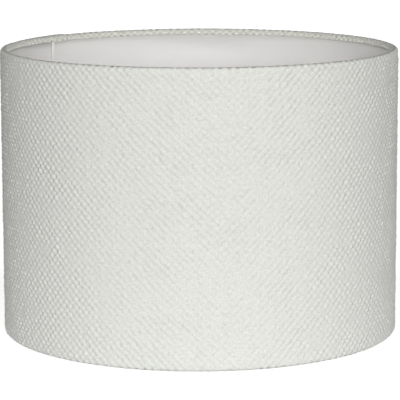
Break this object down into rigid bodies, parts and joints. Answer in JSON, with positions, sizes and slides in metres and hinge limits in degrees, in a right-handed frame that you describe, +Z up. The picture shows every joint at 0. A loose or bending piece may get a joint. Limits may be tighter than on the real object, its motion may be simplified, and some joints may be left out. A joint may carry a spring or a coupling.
{
  "type": "lamp shade",
  "caption": "Drum lamp shade: coarse plain-weave cloth over a styrene lining, rolled onto two wire rings, with a recessed three-arm fitter ring on the lower one.",
  "frame": {"origin": "centre of the lower rim, on the plane that the shade stands on", "axes": "+Z up along the drum's axis; +Y is the back; the panel's lap seam stands at the back left, about 50 degrees from +Y towards -X"},
  "size_m": [0.25, 0.25, 0.18],
  "materials": {
    "cloth": "coarse plain weave, matt",
    "lining": "smooth satin styrene sheet",
    "ring_steel": "white epoxy powder coat",
    "tape": "double-sided adhesive film"
  },
  "bodies": {
    "root": {"cloth_cover": "cloth", "styrene_lining": "lining", "seam_tape": "tape", "top_ring": "ring_steel", "top_ring_tape": "tape", "bottom_ring": "ring_steel", "bottom_ring_tape": "tape", "spider_arm_1": "ring_steel", "spider_arm_2": "ring_steel", "spider_arm_3": "ring_steel", "fitter_ring": "ring_steel"}
  },
  "joints": []
}
